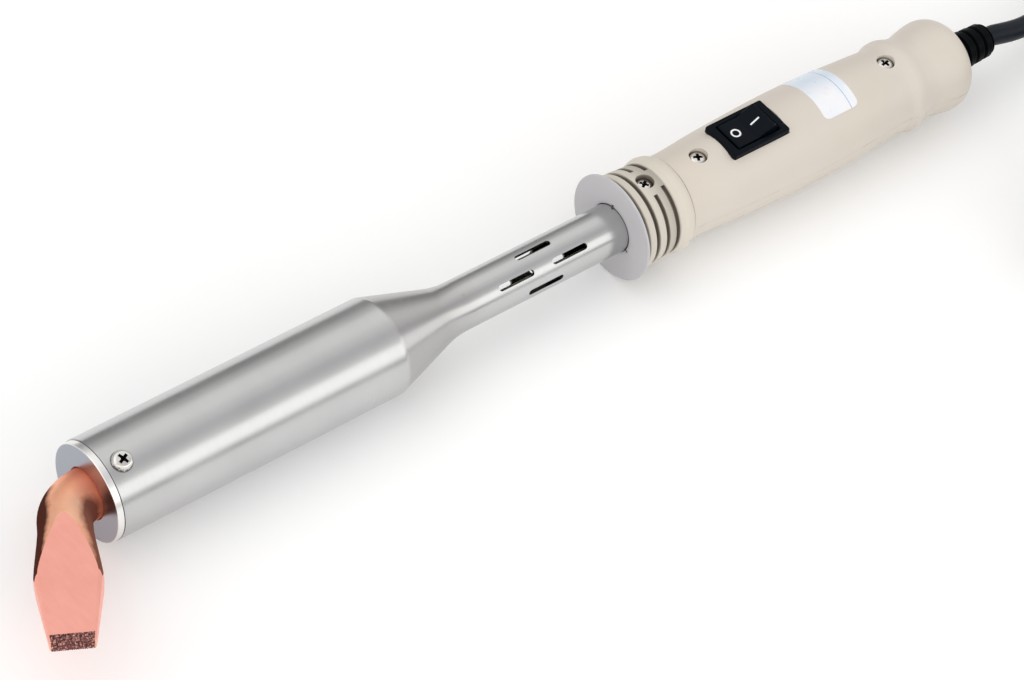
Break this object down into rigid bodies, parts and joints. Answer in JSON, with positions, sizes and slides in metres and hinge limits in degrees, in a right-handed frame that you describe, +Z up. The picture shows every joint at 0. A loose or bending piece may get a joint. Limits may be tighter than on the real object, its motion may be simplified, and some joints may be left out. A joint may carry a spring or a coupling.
{
  "type": "electric soldering iron",
  "caption": "Heavy mains soldering iron with a bent copper bit, steel barrel and slotted neck, finned collar, moulded grip with a rocker switch, and a coiled cord with its plug.",
  "frame": {"origin": "under the middle of the tool, at the surface that its collar flange rests on", "axes": "+X from the bit to the cord, along the barrel and the grip; +Z up, the side with the switch and the screws; -Y the side that the bit is bent towards"},
  "size_m": [0.5045, 0.1096, 0.0371],
  "materials": {
    "bit_copper": "filed copper with heat tint",
    "zinc_plate": "satin",
    "screw_zinc": "bright zinc",
    "barrel_steel": "spun and brushed",
    "heater_steel": "scaled",
    "mica": "flaky",
    "resistance_wire": "dull",
    "fibre_blanket": "matte",
    "steatite": "matte",
    "lead_wire": "satin",
    "collar_plastic": "matte",
    "grip_plastic": "matte",
    "label_film": "satin film, blank",
    "switch_black": "semi-gloss",
    "rocker_black": "semi-gloss",
    "contact_brass": "satin",
    "tinned_crimp": "satin",
    "wire_brown": "satin",
    "wire_blue": "satin",
    "wire_green": "satin",
    "cord_rubber": "matte",
    "clamp_plastic": "matte",
    "relief_rubber": "matte",
    "tie_plastic": "satin",
    "plug_rubber": "matte",
    "nickel": "nickel plate"
  },
  "bodies": {
    "handle": {"nose_cap": "zinc_plate", "clamp_screws": "screw_zinc", "barrel": "barrel_steel", "heater_tube": "heater_steel", "inner_mica": "mica", "heater_winding": "resistance_wire", "outer_mica": "mica", "heat_jacket": "fibre_blanket", "ceramic_disc": "steatite", "heater_leads": "lead_wire", "lead_beads": "steatite", "heat_collar": "collar_plastic", "collar_screw": "screw_zinc", "grip_upper": "grip_plastic", "grip_lower": "grip_plastic", "housing_screws": "screw_zinc", "label": "label_film", "switch_housing": "switch_black", "switch_terminals": "contact_brass", "spade_sleeves": "tinned_crimp", "crimp_sleeves": "tinned_crimp", "live_wires": "wire_brown", "neutral_wire": "wire_blue", "earth_wire": "wire_green", "earth_tag": "contact_brass", "cord_lead_in": "cord_rubber", "cord_clamp": "clamp_plastic", "cord_clamp_screws": "screw_zinc", "strain_relief": "relief_rubber", "supply_cord": "cord_rubber", "cord_coil": "cord_rubber", "cord_tail": "cord_rubber", "coil_tie": "tie_plastic", "plug_body": "plug_rubber", "plug_pins": "nickel", "earth_contacts": "contact_brass"},
    "bit": {"bit": "bit_copper"},
    "rocker": {"switch_rocker": "rocker_black"}
  },
  "joints": [
    {"name": "bit_turn", "type": "hinge", "parent": "handle", "child": "bit", "pos_m": [-0.11, 0.016, 0.0166], "axis": [1, 0, 0], "continuous": true},
    {"name": "rocker_turn", "type": "hinge", "parent": "handle", "child": "rocker", "pos_m": [0.0874, 0.016, 0.0291], "axis": [0, 1, 0], "range_deg": [0, 30]}
  ]
}
